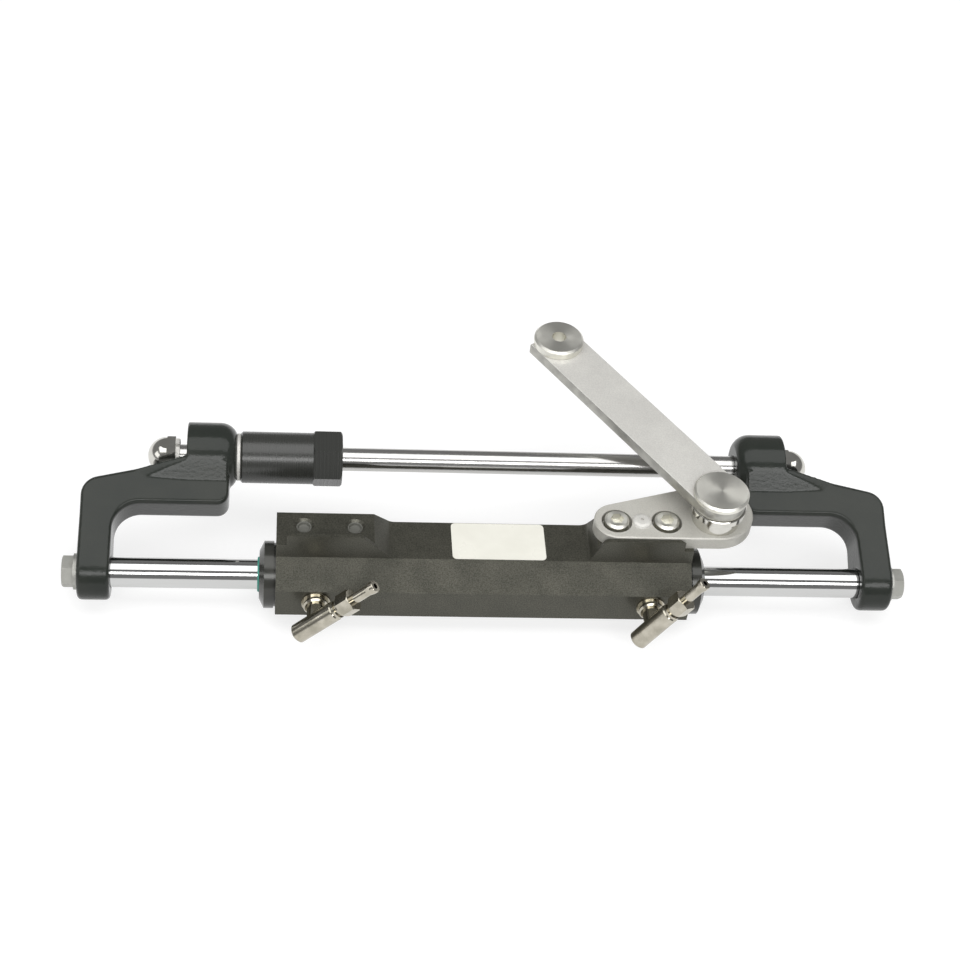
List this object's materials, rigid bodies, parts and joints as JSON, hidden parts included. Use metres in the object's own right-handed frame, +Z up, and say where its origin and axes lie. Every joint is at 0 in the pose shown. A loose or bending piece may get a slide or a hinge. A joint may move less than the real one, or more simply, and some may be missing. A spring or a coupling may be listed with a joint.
{
  "type": "hydraulic steering cylinder",
  "caption": "Outboard steering cylinder: a barrel slides on a rod held by cast brackets, with a support rod and a link arm to the tiller.",
  "frame": {"origin": "on the support rod's axis, midway between the two brackets", "axes": "+X along the support rod and the piston rod, +Y from the cylinder towards the tiller, +Z up along the link arm's pivot pin and the tiller bolt"},
  "size_m": [0.566, 0.2287, 0.1014],
  "materials": {
    "bracket_paint": "gloss black coat on a casting",
    "chrome_rod": "hard chrome, polished",
    "stainless_rod": "ground and polished stainless",
    "stainless": "satin stainless",
    "zinc_steel": "matt zinc plate",
    "barrel_alloy": "dark hard anodised, satin",
    "gland_alloy": "dark anodised, smooth",
    "wiper_rubber": "turquoise green",
    "seal_rubber": "black",
    "bearing_plastic": "bearing plastic",
    "label_film": "bare pale film",
    "black_nut": "black, fine turning marks",
    "nickel": "nickel plate"
  },
  "bodies": {
    "frame": {"bracket_left": "bracket_paint", "bracket_right": "bracket_paint", "piston_rod": "chrome_rod", "piston": "barrel_alloy", "piston_seal": "seal_rubber", "piston_wear_rings": "bearing_plastic", "piston_circlips": "zinc_steel", "end_bolt_left": "zinc_steel", "end_bolt_right": "zinc_steel", "end_washer_left": "zinc_steel", "end_washer_right": "zinc_steel", "support_rod": "stainless_rod", "support_nut_left": "stainless", "support_nut_right": "stainless", "tab_washer": "stainless", "spacer_ring": "stainless", "adjusting_sleeve": "black_nut", "adjusting_nut": "black_nut"},
    "guides": {"guide_bush_left": "bearing_plastic", "guide_bush_right": "bearing_plastic"},
    "barrel": {"barrel": "barrel_alloy", "label": "label_film", "gland_left": "gland_alloy", "gland_right": "gland_alloy", "rod_wiper_left": "wiper_rubber", "rod_wiper_right": "wiper_rubber", "rod_seal_left": "seal_rubber", "rod_seal_right": "seal_rubber", "gland_o_ring_left": "seal_rubber", "gland_o_ring_right": "seal_rubber", "link_plate": "stainless", "plate_screw_inner": "stainless", "plate_screw_outer": "stainless", "plate_plug": "stainless", "pivot_pin": "stainless", "pin_spacer": "stainless", "arm_washer": "stainless", "pin_washer": "stainless", "pin_nut": "stainless", "port_washer_left": "nickel", "tee_body_left": "nickel", "bleed_screw_left": "nickel", "hose_nut_left": "nickel", "hose_tail_left": "nickel", "port_washer_right": "nickel", "tee_body_right": "nickel", "bleed_screw_right": "nickel", "hose_nut_right": "nickel", "hose_tail_right": "nickel"},
    "link": {"link_arm": "stainless", "arm_bush": "bearing_plastic"},
    "tiller_bush": {"tiller_bush": "stainless", "tiller_circlip": "stainless"}
  },
  "joints": [
    {"name": "barrel_slide", "type": "slide", "parent": "frame", "child": "guides", "axis": [1, 0, 0], "range_m": [-0.0935, 0.1045]},
    {"name": "barrel_swivel", "type": "hinge", "parent": "guides", "child": "barrel", "pos_m": [0, -0.07686, -0.03263], "axis": [1, 0, 0], "range_deg": [-1, 30]},
    {"name": "link_pivot", "type": "hinge", "parent": "barrel", "child": "link", "pos_m": [0.148, -0.06236, 0.02912], "axis": [0, 0, 1], "range_deg": [-50, 40]},
    {"name": "tiller_turn", "type": "hinge", "parent": "link", "child": "tiller_bush", "pos_m": [0.0517, 0.08292, 0.04327], "axis": [0, 0, 1], "continuous": true}
  ]
}
